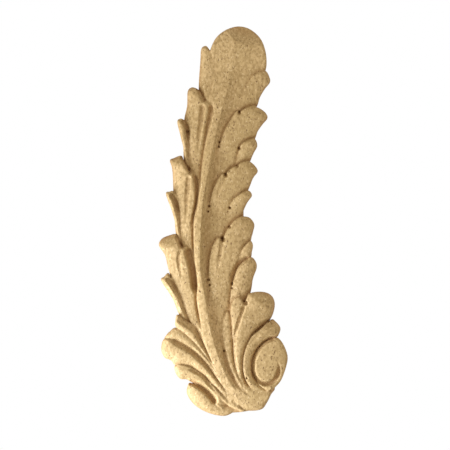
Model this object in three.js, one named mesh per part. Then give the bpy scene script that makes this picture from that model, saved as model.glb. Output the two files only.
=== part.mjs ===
// Carved acanthus leaf applique, one piece of wood with a flat back.
// Millimetres, +Z up, the carved face looks along -Y and the back lies in the plane Y = 0.
import * as THREE from "three";

// Driving sizes, mm
const LENGTH = 180;
const THICKNESS = 12;
const EDGE_ROUND = 0.9;

// Sizes of the faceted mesh, mm
const OUTLINE_STEP = 1.4;
const LINE_STEP = 1.4;
const FILL_STEP = 1.7;
const FILL_WOBBLE = 0.04;
const NEAR_LINE = 0.5;
const NEAR_OUTLINE = 0.75;
const NEAR_FILL = 1.25;
const FILL_INSET = 1;

// Plan sizes below are hundredths of LENGTH, x to the right and z up from the middle of the leaf.
// Heights below are hundredths of THICKNESS, counted from the back.
const UNIT = LENGTH / 100;
const RISE = THICKNESS / 100;
const CURVE_PIECES = 5;
const MIDDLE_PIECES = 8;
const GROUND_HEIGHT = 58;
const DEEPEST = 40;
const STEP_WIDTH = 0.28;
const CUT_WIDTH = 0.6;
const RIM_INSET = 0.35;

// A leaflet is at its tip's height over the last part of its length; its rolled tip bends down by a power.
const TIP_SHARE = 0.85;
const CURL_BEND = 1.7;

// A groove begins over a share of its length and narrows to a share of its width; a power sets its sides.
const RUN_IN = 0.08;
const NARROWEST = 0.2;
const GROOVE_WALL = 4;

// Lines of mesh points beside each leaflet's edge and, in half widths, beside each groove, with the least
// difference in height across them that is worth the points.
const EDGE_LINES = { sides: [0.08, -0.3, -0.9], least: 4 };
const GROOVE_LINES = { sides: [-0.5, 0.5, -1.3, 1.3], least: 3 };
const NEAR_SIDE = 0.3;

// Least area of a triangle, how far outside its own line a leaflet or groove still acts, and the size of the
// triangle that the mesh is started in, in lengths of the leaf.
const SLIVER = 0.006;
const BEYOND = 1.5;
const FRAME_REACH = 6;

// The floor that shows between the leaflets at the bottom of the deepest cuts.
const GROUND = [
  [-4, 30], [-8, 20], [-11, 6], [-12, -10], [-11.6, -24], [-12.6, -31], [-10.8, -38.6], [-7.6, -42],
  [-6.5, -46], [0, -49], [9, -47.6], [12.4, -42], [13, -30], [9, -23], [6, -16], [5, 0], [5.5, 12],
  [6.5, 24], [7, 34],
];

// The stalk carries the rounded leaf at the top and runs down to the foot.
const STALK = [
  [-5.5, 30], [-4.5, 36], [-3.9, 42], [-3.3, 44.6], [-1.9, 47.2], [0.6, 49.1], [3.6, 50], [6.6, 49.3],
  [9.2, 47], [10.5, 44], [10.9, 41], [10.6, 38.4], [9, 32], [6, 20], [4, 6], [4, -20], [5.5, -36], [8, -46],
  [6, -48.45], [4, -48.3], [0, -46], [-4, -39.5], [-7.5, -30], [-9.5, -20], [-9, -5], [-8, 10],
];
const RIDGE = [
  [3, 52], [2.3, 42], [1.3, 35.5], [-0.2, 30], [-2.1, 22.5], [-4, 13], [-5.4, 5], [-6, -4], [-6, -13],
  [-4.7, -20], [-3.6, -27], [-1.7, -34], [1, -40.5], [4, -44.7], [6.2, -47.4],
];
const RIDGE_HEIGHT = [
  [-48, 78], [-40, 93], [-20, 99], [0, 95], [20, 87], [34, 81], [38.5, 76], [45.5, 87], [50, 87],
];
const VALLEY_DEPTH = [[-44, 7], [-30, 19], [-5, 27], [12, 23], [28, 14], [34, 9], [42, 0]];
const VALLEY_WIDTH = 2.3;
const FALL_LEFT = 1.7;
const FALL_RIGHT = 0.9;
const CAP = { foot: 45.1, side: 6, bend: 0.13, fall: 13 };

// Leaflets, each drawn over the ones before it.
//   edge    runs from the left of the root round the tip to the right of the root
//   middle  is the line up the middle, a straight one to the tip unless it is given
//   rise    height at the root and at the tip
//   ridge   place of the crest across the leaflet, -1 left edge, 1 right edge
//   fall    height lost from the crest to the left edge and to the right edge
//   curl    length of the rolled tip and the height it loses
//   merge   share of the length over which the leaflet grows out of what lies below
//   cut     depth of the cut along its edge in what lies below
const LEAFLETS = [
  { name: "left 1", rise: [70, 71], ridge: 0.2, fall: [14, 0], curl: [1, 7], merge: 0.3, cut: 0,
    edge: [[-6.4, 30], [-6.5, 35], [-6.1, 41], [-5.9, 44], [-5.1, 44.9], [-4.2, 44.6], [-3, 42], [-2.8, 36],
      [-4, 31]] },
  { name: "right 1", rise: [60, 73], ridge: -0.3, fall: [2, 12], curl: [1.6, 11], merge: 0.8, cut: 4,
    edge: [[2, 27], [5.5, 34], [7.4, 37.1], [9.1, 38.2], [10.7, 38.5], [11.6, 37], [11.75, 35.6],
      [10.5, 34], [9.2, 31.8], [8.4, 29.4], [6, 25]] },
  { name: "left 2", rise: [69, 80], ridge: 0.6, fall: [22, 6], curl: [2.6, 20], merge: 0.25, cut: 4,
    edge: [[-10.3, 8], [-10.4, 24], [-9.5, 29.5], [-9.35, 33.2], [-8.4, 34.3], [-7.2, 34.1], [-6.2, 33.3],
      [-4.9, 30.8], [-3.8, 30.3], [-3.35, 29], [-4.1, 25], [-5.1, 19], [-6, 12], [-6.4, 3]] },
  { name: "right 2", rise: [73, 84], ridge: -0.5, fall: [4, 24], curl: [3.2, 17], merge: 0.3, cut: 6,
    middle: [[1, 14], [3.8, 22.5], [10.9, 27.4]],
    edge: [[-2.2, 11], [-1.6, 17.5], [-0.8, 20.3], [0.2, 23.1], [1.8, 26], [3.3, 28.1], [3.8, 27.6],
      [4.6, 28.3], [6, 29.1], [7.5, 29.4], [9.2, 28.9], [10.7, 27.7], [11.1, 26.4], [9.9, 24.9], [8.6, 23],
      [7.9, 21], [5, 14], [2.6, 10]] },
  { name: "left 3", rise: [69, 80], ridge: -0.3, fall: [12, 14], curl: [1.2, 9], merge: 0.8, cut: 2,
    edge: [[-10.9, 6], [-10.2, 16.5], [-11.1, 21.5], [-12, 25.4], [-11.2, 26.3], [-10.2, 25.9],
      [-9.5, 24.6], [-9.25, 23.2], [-9.45, 20.5], [-9, 15], [-8.6, 6]] },
  { name: "right 3", rise: [68, 84], ridge: -0.4, fall: [4, 18], curl: [1.6, 12], merge: 0.9, cut: 8,
    edge: [[2.2, 10], [3.5, 16], [4.1, 18.8], [5, 20.1], [6.4, 20.8], [7.9, 21.1], [8.5, 19.3], [7.6, 17.5],
      [6.7, 15.3], [5, 10]] },
  { name: "left 4", rise: [73, 86], ridge: 0.72, fall: [21, 9], curl: [3, 23], merge: 0.25, cut: 4,
    edge: [[-11.4, -14], [-12.8, 2], [-13.2, 12.5], [-13.9, 15.5], [-12.9, 16.2], [-10.9, 16.8],
      [-10.2, 14.9], [-8.8, 12.5], [-8, 12.25], [-7.2, 10.5], [-6.95, 6], [-7.8, 1], [-7.9, -6],
      [-7.4, -15]] },
  { name: "right 4", rise: [76, 85], ridge: -0.5, fall: [4, 22], curl: [2.6, 15], merge: 0.3, cut: 6,
    middle: [[-1, 1], [1.8, 9], [8.4, 13.4]],
    edge: [[-4, -1], [-3.7, 4.2], [-3.1, 6.7], [-2.3, 9], [-1.3, 10.9], [-0.3, 12.1], [0.4, 11.5],
      [1, 12.6], [2.2, 13.7], [3.3, 14.1], [4.6, 15], [6.5, 15.3], [8, 14.1], [8.6, 12.7], [7.4, 11],
      [6.2, 8], [3, 1]] },
  { name: "left 5", rise: [71, 84], ridge: -0.3, fall: [12, 14], curl: [1.2, 9], merge: 0.8, cut: 2,
    edge: [[-11.6, -13], [-12.2, -3], [-13.1, 1.8], [-14.9, 6.9], [-14, 7.6], [-12.9, 7.6], [-12, 5],
      [-11.6, 1.5], [-11.2, -3], [-10.4, -13]] },
  { name: "right 5", rise: [70, 84], ridge: -0.4, fall: [4, 18], curl: [1.6, 12], merge: 0.9, cut: 8,
    edge: [[0.2, -2], [1, 1], [1.7, 4], [2.7, 5.8], [4.3, 7], [6.2, 7.9], [7.15, 6.6], [5.9, 4.7], [4.8, 2],
      [4.3, -2]] },
  { name: "left 6", rise: [78, 91], ridge: 0.6, fall: [17, 9], curl: [3.6, 26], merge: 0.25, cut: 3,
    edge: [[-8.6, -30], [-11.6, -21], [-14.2, -12.5], [-15.1, -8.8], [-16.7, -6.2], [-16, -4.5],
      [-14.1, -3.6], [-12.2, -3.4], [-11.2, -6.3], [-10.5, -7], [-9.5, -6.7], [-8.3, -8.4], [-7.4, -12],
      [-7, -17], [-7, -21], [-5.5, -29]] },
  { name: "right 6", rise: [81, 89], ridge: -0.5, fall: [4, 24], curl: [3, 15], merge: 0.3, cut: 5,
    middle: [[-1.5, -25], [0, -10], [7.6, -0.4]],
    edge: [[-4.4, -25], [-3.9, -15], [-3.6, -10.3], [-3.2, -8], [-2.8, -6.4], [-1.6, -4.4], [-0.9, -4.6],
      [-0.4, -5.6], [0, -4.2], [0.7, -2.6], [1.6, -1.3], [2.7, 0.1], [4.1, 1], [5.3, 1.25], [6.7, 0.8],
      [7.75, -0.8], [7.4, -2.8], [6.9, -4.9], [6.6, -9], [4, -18], [1.5, -25]] },
  { name: "right 6 lower", rise: [76, 85], ridge: -0.3, fall: [2, 12], curl: [1, 7], merge: 0.9, cut: 8,
    edge: [[2.8, -14], [4.3, -8.6], [5.2, -6.7], [6.8, -5.1], [7.4, -6.2], [7.1, -8], [6.9, -9.3],
      [5.4, -14]] },
  { name: "left 7", rise: [73, 89], ridge: 0.1, fall: [15, 13], curl: [2, 22], merge: 0.4, cut: 2,
    edge: [[-9, -31], [-11.2, -25], [-12.1, -22.5], [-13.4, -19.4], [-16.1, -15.2], [-15.4, -14.2],
      [-14.2, -13.3], [-12.9, -16.2], [-11.5, -19.3], [-9.8, -23.5], [-7, -30]] },
  { name: "right 7", rise: [80, 90], ridge: -0.4, fall: [4, 22], curl: [2, 13], merge: 0.7, cut: 7,
    edge: [[0.8, -27], [1.7, -21], [2.1, -17], [3.2, -13], [4.4, -11], [6.8, -9.2], [8.1, -10.3],
      [8.35, -12], [7.4, -14.7], [6.8, -18.2], [4.5, -27]] },
  { name: "foot", rise: [86, 82], ridge: 0, fall: [6, 14], curl: [1, 8], merge: 0.1, cut: 0,
    middle: [[3, -42], [12, -45.4]],
    edge: [[1.5, -41.5], [5, -40], [9, -40.5], [12.9, -42.5], [12, -44.4], [11, -46.4], [9.5, -48.2],
      [6, -48.5], [4, -47.6]] },
  { name: "right 8", rise: [92, 95], ridge: -0.3, fall: [5, 34], curl: [3.4, 29], merge: 0.2, cut: 3,
    middle: [[5, -43], [5, -30], [12.8, -20.4]],
    edge: [[2.6, -42], [1.7, -30], [1.8, -23], [2.5, -20.3], [3.8, -19.6], [5, -20.9], [5.8, -20],
      [6.8, -18.4], [10, -18.1], [12.2, -19.1], [13, -21.3], [12.2, -24.5], [9.5, -29], [6.5, -36],
      [6.2, -43]] },
  { name: "left 8", rise: [87, 95], ridge: -0.1, fall: [6, 10], curl: [1.4, 11], merge: 0.25, cut: 2,
    edge: [[-3, -39], [-6, -33.6], [-9.2, -30], [-12.2, -27.2], [-12.5, -25.5], [-12, -23.9],
      [-10.4, -25.2], [-7.6, -27], [-6, -30], [-4.5, -33.2], [-2.2, -38]] },
  { name: "left 9", rise: [88, 91], ridge: 0.1, fall: [8, 5], curl: [1.8, 12], merge: 0.2, cut: 1,
    edge: [[-1.5, -41], [-5.3, -36], [-8.7, -33], [-12, -30.8], [-15.1, -30.2], [-14.9, -29.3],
      [-14, -28.3], [-12.2, -27.3], [-9, -29.7], [-5.8, -33.2], [-2.1, -38.4]] },
  { name: "left 10", rise: [86, 93], ridge: 0.35, fall: [18, 8], curl: [1.6, 10], merge: 0.2, cut: 2,
    edge: [[0.6, -46], [-3.4, -41.7], [-7.5, -38], [-10.5, -37], [-12.6, -36.8], [-13.6, -35.6],
      [-15.2, -34.9], [-16.1, -32.8], [-15.3, -30.1], [-12, -30.8], [-8.7, -33], [-5.3, -36], [-1.2, -41.3],
      [1.5, -45]] },
  { name: "left 11", rise: [84, 86], ridge: 0.35, fall: [11, 0], curl: [1.4, 8], merge: 0.2, cut: 0,
    edge: [[0.8, -49.2], [-1.7, -47], [-4.4, -44.1], [-6.8, -42.1], [-8.6, -41.1], [-9.6, -40.5],
      [-11.3, -40.3], [-12.5, -38.6], [-12.5, -36.9], [-9.5, -37.2], [-6.3, -38.8], [-3.4, -41.7],
      [1, -46.5]] },
  { name: "left 12", rise: [84, 82], ridge: 0.5, fall: [22, 5], curl: [1.2, 9], merge: 0.8, cut: 0,
    middle: [[3.5, -48], [-3, -47], [-9, -42]],
    edge: [[4.2, -47.6], [2.6, -48.8], [0, -49.9], [-4, -49.1], [-7.5, -47.1], [-9.5, -44.2], [-9.2, -41.8],
      [-8.4, -41.5], [-6.6, -42.3], [-4.4, -44], [-2.6, -46.2], [-0.5, -47.4], [1.5, -47.6]] },
  { name: "right 9 inner", rise: [88, 79], ridge: 0, fall: [5, 5], curl: [3, 9], merge: 0.2, cut: 3,
    edge: [[5.2, -45], [1.2, -37.5], [0.1, -33.4], [-0.3, -29.5], [-0.1, -25.5], [0.6, -23.1], [1.5, -23.6],
      [2, -27], [2.2, -31], [2.7, -37], [5.6, -44]] },
  { name: "right 9", rise: [90, 92], ridge: -0.8, fall: [1, 22], curl: [4.5, 24], merge: 0.12, cut: 12,
    edge: [[8.6, -44.5], [5.9, -41], [5, -37.5], [5.4, -33.6], [7, -29.8], [9.6, -27.5], [12.1, -25.2],
      [13.3, -25.8], [14.4, -27.2], [14.2, -28.6], [13.3, -29.9], [11, -31], [8.8, -33.3], [7.7, -37],
      [8.8, -41], [12, -43.5]] },
  { name: "scroll", rise: [92, 92], ridge: 0, fall: [3, 7], curl: [1, 6], merge: 0, cut: 0,
    edge: [[11.4, -43.3], [9, -41.6], [7.5, -38.5], [7.5, -35.5], [8.7, -32.9], [10.7, -31], [13.3, -29.8],
      [15, -31.2], [16.25, -34.4], [15.9, -37.2], [14.6, -40.7], [12.9, -42.7]] },
];

// Grooves cut with a round gouge.
//   line    is the middle of the groove from its start to its end
//   half    half its width
//   depth   its depth
//   into    share of its length over which it starts, RUN_IN unless it is given
//   out     share of its length over which it runs out
const GROOVES = [
  { line: [[-7, 34.3], [-6.2, 33], [-5.4, 31.4], [-4.6, 30.5]], half: 0.5, depth: 13, out: 0.15 },
  { line: [[-11, 16.7], [-10.2, 15], [-9.5, 13.8], [-8.6, 12.5]], half: 0.45, depth: 11, out: 0.15 },
  { line: [[-12.3, -3.6], [-11.5, -5.4], [-10.8, -7]], half: 0.45, depth: 11, out: 0.15 },
  { line: [[-3.7, 30.2], [-3.3, 28.6], [-3.6, 26.6], [-4.1, 24.3], [-4.5, 22], [-5, 19.6], [-5.4, 16]],
    half: 0.65, depth: 10, out: 0.7 },
  { line: [[-5.4, 30.4], [-5.9, 25.5], [-6.4, 22], [-6.6, 16]], half: 0.6, depth: 9, out: 0.7 },
  { line: [[-10.9, 26], [-10, 24.8], [-9.4, 23.1], [-9.2, 20]], half: 0.55, depth: 18, out: 0.5 },
  { line: [[-8.3, 12.3], [-7.3, 10.6], [-6.9, 7.5], [-7.2, 3.6], [-8.2, 0], [-8.5, -3.5]],
    half: 0.5, depth: 14, out: 0.5 },
  { line: [[-8.9, 12], [-9.3, 8.5], [-9.6, 3], [-9.8, -2]], half: 0.6, depth: 7, out: 0.7 },
  { line: [[-13.9, 7.2], [-12.8, 5.6], [-12.1, 3.4], [-11.8, 0.5]], half: 0.55, depth: 18, out: 0.5 },
  { line: [[-11, -7], [-11.6, -10], [-10.6, -16]], half: 0.5, depth: 6, out: 0.7 },
  { line: [[-9.5, -6.7], [-9, -8.6], [-8.3, -11.2], [-7.9, -13.4], [-7.6, -15.9], [-7.4, -18.8]],
    half: 0.85, depth: 24, out: 0.2 },
  { line: [[-14.9, -14.4], [-13.4, -16], [-12.2, -18.3], [-11, -20.7]], half: 0.6, depth: 14, out: 0.7 },
  { line: [[0.4, 11.6], [-1.2, 8], [-2, 3]], half: 0.5, depth: 4, out: 0.8 },
  { line: [[-0.4, -5], [-1.1, -9], [-2.2, -15]], half: 0.5, depth: 5, out: 0.8 },
  { line: [[6.6, -9.3], [4.6, -10.2], [3.2, -11.8], [2.3, -14], [1.9, -17]],
    half: 0.7, depth: 9, out: 0.3 },
  { line: [[-12.4, -24.6], [-9, -26.5], [-6.9, -28.3], [-5.9, -30.6], [-4.7, -32.9], [-3.8, -35]],
    half: 0.8, depth: 8, out: 0.5 },
  { line: [[-13.8, -30.3], [-10.5, -31.9], [-8, -33.4], [-6.3, -35], [-4.2, -37.1], [-1.9, -40.2],
    [0.2, -43.3]], half: 0.7, depth: 8, out: 0.5 },
  { line: [[-9.6, -37.8], [-7.5, -38.3], [-5.1, -39.9], [-3.7, -41.8], [-1.8, -44]],
    half: 0.5, depth: 9, into: 0.2, out: 0.4 },
  { line: [[-9.2, -41.1], [-7.6, -41.5], [-6, -42.4], [-4.4, -43.6], [-3, -45.1], [-1.9, -47]],
    half: 0.75, depth: 17, out: 0.12 },
  { line: [[5.4, -20.8], [4.4, -23.8], [3.4, -27], [2.6, -30.5], [2.6, -34.5], [3.4, -38], [4.9, -41]],
    half: 0.45, depth: 8, out: 0.3 },
  { line: [[-1, -29], [-0.1, -32.5], [0.9, -37], [3, -41.2], [5.4, -43.7], [8.2, -45.8]],
    half: 0.55, depth: 6, into: 0.3, out: 0.4 },
  { line: [[13.2, -25.6], [11.3, -26], [9.5, -27.4], [8, -28.9], [6.7, -31], [5.7, -33.6]],
    half: 1, depth: 11, out: 0.6 },
  { line: [[14.2, -29.6], [11.6, -30.4], [9.3, -32.2], [7.9, -34.4], [7.4, -37], [7.7, -39.3], [9, -41],
    [10.8, -41.6], [12.6, -41], [13.7, -39.4], [14, -37.5], [13.7, -35.7]],
    half: 0.55, depth: 17, out: 0.15 },
  { line: [[2, -45.8], [5.2, -48.4]], half: 0.4, depth: 3, out: 0.2 },
];

// Smooth line through the points.
function curve(points, pieces = CURVE_PIECES) {
  const spline = new THREE.SplineCurve(points.map(([x, z]) => new THREE.Vector2(x, z)));
  return spline.getPoints(pieces * (points.length - 1));
}

const closed = (points) => curve([...points, points[0]]);

const ease = (share) => THREE.MathUtils.smoothstep(share, 0, 1);

// Value at a place in a table of [place, value], straight between the rows.
function between(table, place) {
  const upper = table.findIndex(([at]) => at >= place);
  if (upper < 0) return table[table.length - 1][1];
  if (upper === 0) return table[0][1];
  const [a, low] = table[upper - 1];
  const [b, high] = table[upper];
  return low + ((high - low) * (place - a)) / (b - a);
}

// Distance from a point to a line, the share of its length there, and the side, 1 to the right of its way.
function nearest(line, x, z) {
  const found = { distance: Infinity, share: 0, side: 1 };
  let run = 0;
  for (let i = 1; i < line.length; i += 1) {
    const a = line[i - 1];
    const ex = line[i].x - a.x;
    const ez = line[i].y - a.y;
    const length = Math.hypot(ex, ez);
    const dx = x - a.x;
    const dz = z - a.y;
    const along = THREE.MathUtils.clamp((dx * ex + dz * ez) / (length * length), 0, 1);
    const distance = Math.hypot(dx - along * ex, dz - along * ez);
    if (distance < found.distance) {
      found.distance = distance;
      found.share = run + along * length;
      found.side = dx * ez - dz * ex < 0 ? -1 : 1;
    }
    run += length;
  }
  found.share /= run;
  return found;
}

function contains(loop, x, z) {
  let odd = false;
  for (let i = 0, j = loop.length - 1; i < loop.length; j = i, i += 1) {
    const a = loop[i];
    const b = loop[j];
    if (a.y > z !== b.y > z && x < ((b.x - a.x) * (z - a.y)) / (b.y - a.y) + a.x) odd = !odd;
  }
  return odd;
}

function lengthOf(line) {
  return line.slice(1).reduce((sum, point, i) => sum + point.distanceTo(line[i]), 0);
}

const boxOf = (line) => new THREE.Box2().setFromPoints(line);

function drawn(leaflet) {
  const edge = curve(leaflet.edge);
  const root = edge[0].clone().add(edge[edge.length - 1]).multiplyScalar(0.5);
  const goal = leaflet.middle ? new THREE.Vector2(...leaflet.middle.at(-1)) : null;
  const reach = (point) => (goal ? -point.distanceTo(goal) : point.distanceTo(root));
  const tip = edge.reduce((best, point, i) => (reach(point) > reach(edge[best]) ? i : best), 0);
  const middle = leaflet.middle ? curve(leaflet.middle, MIDDLE_PIECES) : [root, edge[tip]];
  return {
    ...leaflet,
    loop: edge,
    left: edge.slice(0, tip + 1),
    right: edge.slice(tip),
    middle,
    length: lengthOf(middle),
    box: boxOf(edge).expandByScalar(BEYOND),
  };
}

const stalk = closed(STALK);
const ridge = curve(RIDGE);
const leaflets = LEAFLETS.map(drawn);
const grooves = GROOVES.map((groove) => {
  const path = curve(groove.line);
  return { into: RUN_IN, ...groove, path, box: boxOf(path).expandByScalar(BEYOND) };
});
const loops = [closed(GROUND), stalk, ...leaflets.map(({ loop }) => [...loop, loop[0]])];
const boxes = loops.map(boxOf);

// Distance in from the outline of the whole leaf, negative outside it.
function margin(x, z) {
  const point = new THREE.Vector2(x, z);
  return loops.reduce((most, loop, i) => {
    if (-boxes[i].distanceToPoint(point) < most) return most;
    const { distance } = nearest(loop, x, z);
    return Math.max(most, contains(loop, x, z) ? distance : -distance);
  }, -Infinity);
}

function stalkHeight(x, z) {
  const { distance, side } = nearest(ridge, x, z);
  const across = -distance * side;
  const slope = across < 0
    ? FALL_LEFT * across
    : -between(VALLEY_DEPTH, z) * (1 - Math.max(1 - across / VALLEY_WIDTH, 0) ** 2) - FALL_RIGHT * across;
  const bend = CAP.bend * Math.max(CAP.side - x, 0) ** 2;
  return between(RIDGE_HEIGHT, z) + slope - CAP.fall * Math.max(z - CAP.foot - bend, 0);
}

// Paints one leaflet over the height below it.
function paint(below, leaflet, x, z) {
  const left = nearest(leaflet.left, x, z).distance;
  const right = nearest(leaflet.right, x, z).distance;
  const { share } = nearest(leaflet.middle, x, z);
  const inside = contains(leaflet.loop, x, z);
  const edge = Math.min(left, right) * (inside ? 1 : -1);
  const across = inside ? (left - right) / (left + right) : Math.sign(left - right);
  const fallen = across < leaflet.ridge
    ? leaflet.fall[0] * ((leaflet.ridge - across) / (leaflet.ridge + 1)) ** 2
    : leaflet.fall[1] * ((across - leaflet.ridge) / (1 - leaflet.ridge)) ** 2;
  const rolled = THREE.MathUtils.clamp(1 - ((1 - share) * leaflet.length) / leaflet.curl[0], 0, 1);
  const crest = THREE.MathUtils.lerp(...leaflet.rise, ease(share / TIP_SHARE));
  const own = crest - leaflet.curl[1] * rolled ** CURL_BEND - fallen;
  const grown = leaflet.merge ? ease(share / leaflet.merge) : 1;
  const cutBelow = below - leaflet.cut * grown * Math.exp(-((edge / CUT_WIDTH) ** 2));
  return THREE.MathUtils.lerp(cutBelow, own, ease(1 + edge / STEP_WIDTH) * grown);
}

// Height of the carved face above the back, hundredths of THICKNESS.
function height(x, z) {
  const point = new THREE.Vector2(x, z);
  const side = nearest(stalk, x, z).distance * (contains(stalk, x, z) ? 1 : -1);
  let value = THREE.MathUtils.lerp(GROUND_HEIGHT, stalkHeight(x, z), ease(1 + side / STEP_WIDTH));
  for (const leaflet of leaflets) {
    if (leaflet.box.containsPoint(point)) value = paint(value, leaflet, x, z);
  }
  for (const groove of grooves) {
    if (!groove.box.containsPoint(point)) continue;
    const { distance, share } = nearest(groove.path, x, z);
    const ends = Math.min(ease(share / groove.into), ease((1 - share) / groove.out));
    const half = groove.half * Math.max(Math.sqrt(ends), NARROWEST);
    value -= groove.depth * ends * Math.exp(-((distance / half) ** GROOVE_WALL));
  }
  return Math.max(value, DEEPEST);
}

// Height at a point of the outline, read a little way in.
function rimHeight(x, z) {
  const probe = RIM_INSET / 4;
  const slope = new THREE.Vector2(
    margin(x + probe, z) - margin(x - probe, z),
    margin(x, z + probe) - margin(x, z - probe),
  ).setLength(RIM_INSET);
  return height(x + slope.x, z + slope.y);
}

// Points along a line at an even spacing, each with the direction to its right.
function stations(line, step) {
  const total = lengthOf(line);
  const count = Math.max(1, Math.round(total / step));
  const found = [];
  let run = 0;
  let piece = 1;
  for (let i = 0; i <= count; i += 1) {
    const goal = (total * i) / count;
    while (piece < line.length - 1 && run + line[piece].distanceTo(line[piece - 1]) < goal) {
      run += line[piece].distanceTo(line[piece - 1]);
      piece += 1;
    }
    const a = line[piece - 1];
    const b = line[piece];
    const length = a.distanceTo(b);
    const share = THREE.MathUtils.clamp((goal - run) / length, 0, 1);
    found.push({
      x: THREE.MathUtils.lerp(a.x, b.x, share), z: THREE.MathUtils.lerp(a.y, b.y, share),
      nx: (b.y - a.y) / length, nz: -(b.x - a.x) / length,
    });
  }
  return found;
}

// Points where two of the loops cross on the outline: the notches between the leaflets.
function notches() {
  const found = [];
  for (const loop of loops) {
    const others = loops.filter((other) => other !== loop);
    const buried = (point) => others.some((other) => contains(other, point.x, point.y));
    for (let i = 1; i < loop.length; i += 1) {
      let a = loop[i - 1].clone();
      let b = loop[i].clone();
      if (buried(a) === buried(b)) continue;
      for (let step = 0; step < 20; step += 1) {
        const half = a.clone().lerp(b, 0.5);
        if (buried(half) === buried(a)) a = half;
        else b = half;
      }
      found.push({ x: a.x, z: a.y });
    }
  }
  return found;
}

// Gathers the points of the mesh: outline first, then both sides of each carved line, then an even fill.
function meshPoints() {
  const points = [];
  const near = (x, z, apart) => points.some((point) => Math.hypot(point.x - x, point.z - z) < apart);
  const add = (x, z, apart, rim) => {
    if (!near(x, z, apart)) points.push({ x, z, rim });
  };
  notches().forEach(({ x, z }) => add(x, z, NEAR_LINE / UNIT, true));
  for (const loop of loops) {
    const others = loops.filter((other) => other !== loop);
    for (const { x, z } of stations(loop, OUTLINE_STEP / UNIT)) {
      const buried = others.some((other) => contains(other, x, z));
      if (!buried) add(x, z, NEAR_OUTLINE / UNIT, true);
    }
  }
  const inside = (x, z) => margin(x, z) > NEAR_LINE / UNIT;
  const lines = [
    ...leaflets.map(({ loop }) => ({ path: loop, width: 1, ...EDGE_LINES })),
    ...grooves.map(({ path, half }) => ({ path, width: half, ...GROOVE_LINES })),
    { path: ridge, width: 1, sides: [0], least: 0 },
  ];
  for (const { path, width, sides, least } of lines) {
    for (const at of stations(path, LINE_STEP / UNIT)) {
      const reaches = sides.map((side) => side * width);
      const beside = reaches.map((reach) => ({ x: at.x + at.nx * reach, z: at.z + at.nz * reach }));
      const heights = beside.map(({ x, z }) => height(x, z));
      if (Math.max(...heights) - Math.min(...heights) < least) continue;
      beside.filter(({ x, z }) => inside(x, z)).forEach(({ x, z }) => add(x, z, NEAR_SIDE, false));
    }
  }
  const box = new THREE.Box2().setFromPoints(loops.flat());
  const step = FILL_STEP / UNIT;
  const rows = Math.ceil((box.max.y - box.min.y) / (step * Math.sqrt(0.75)));
  const columns = Math.ceil((box.max.x - box.min.x) / step);
  for (let row = 0; row <= rows; row += 1) {
    for (let column = 0; column <= columns; column += 1) {
      const x = box.min.x + step * (column + (row % 2) / 2 + FILL_WOBBLE * Math.sin(5 * row + 3 * column));
      const z = box.min.y + step * (Math.sqrt(0.75) * row + FILL_WOBBLE * Math.cos(3 * row + 7 * column));
      if (margin(x, z) > FILL_INSET / UNIT) add(x, z, NEAR_FILL / UNIT, false);
    }
  }
  return points;
}

function circle(points, a, b, c) {
  const { x: ax, z: az } = points[a];
  const bx = points[b].x - ax;
  const bz = points[b].z - az;
  const cx = points[c].x - ax;
  const cz = points[c].z - az;
  const area = 2 * (bx * cz - bz * cx);
  const ux = (cz * (bx * bx + bz * bz) - bz * (cx * cx + cz * cz)) / area;
  const uz = (bx * (cx * cx + cz * cz) - cx * (bx * bx + bz * bz)) / area;
  return { corners: [a, b, c], x: ax + ux, z: az + uz, square: ux * ux + uz * uz };
}

// Joins points into triangles none of whose circles holds another point.
function triangles(given) {
  const count = given.length;
  const far = (FRAME_REACH * LENGTH) / UNIT;
  const points = [...given, { x: -1.5 * far, z: -far }, { x: 1.5 * far, z: -far }, { x: 0, z: 2 * far }];
  const order = given.map((_, i) => i).sort((i, j) => points[i].x - points[j].x);
  let open = [circle(points, count, count + 1, count + 2)];
  const done = [];
  for (const i of order) {
    const { x, z } = points[i];
    const rim = new Map();
    const kept = [];
    for (const triangle of open) {
      const dx = x - triangle.x;
      const dz = z - triangle.z;
      if (dx > 0 && dx * dx > triangle.square) {
        done.push(triangle);
      } else if (dx * dx + dz * dz > triangle.square) {
        kept.push(triangle);
      } else {
        const [a, b, c] = triangle.corners;
        for (const [from, to] of [[a, b], [b, c], [c, a]]) {
          if (!rim.delete(`${to},${from}`)) rim.set(`${from},${to}`, [from, to]);
        }
      }
    }
    open = kept;
    for (const [from, to] of rim.values()) open.push(circle(points, from, to, i));
  }
  const all = [...done, ...open].map(({ corners }) => corners);
  return all.filter((corners) => corners.every((i) => i < count));
}

// Walks the open edges of the face once round, in the direction of its triangles.
function rimOf(face) {
  const edges = new Set(face.flatMap(([a, b, c]) => [`${a},${b}`, `${b},${c}`, `${c},${a}`]));
  const next = new Map();
  for (const edge of edges) {
    const [from, to] = edge.split(",").map(Number);
    if (!edges.has(`${to},${from}`)) next.set(from, to);
  }
  const rim = [next.keys().next().value];
  while (next.get(rim.at(-1)) !== rim[0]) rim.push(next.get(rim.at(-1)));
  return rim;
}

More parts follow.
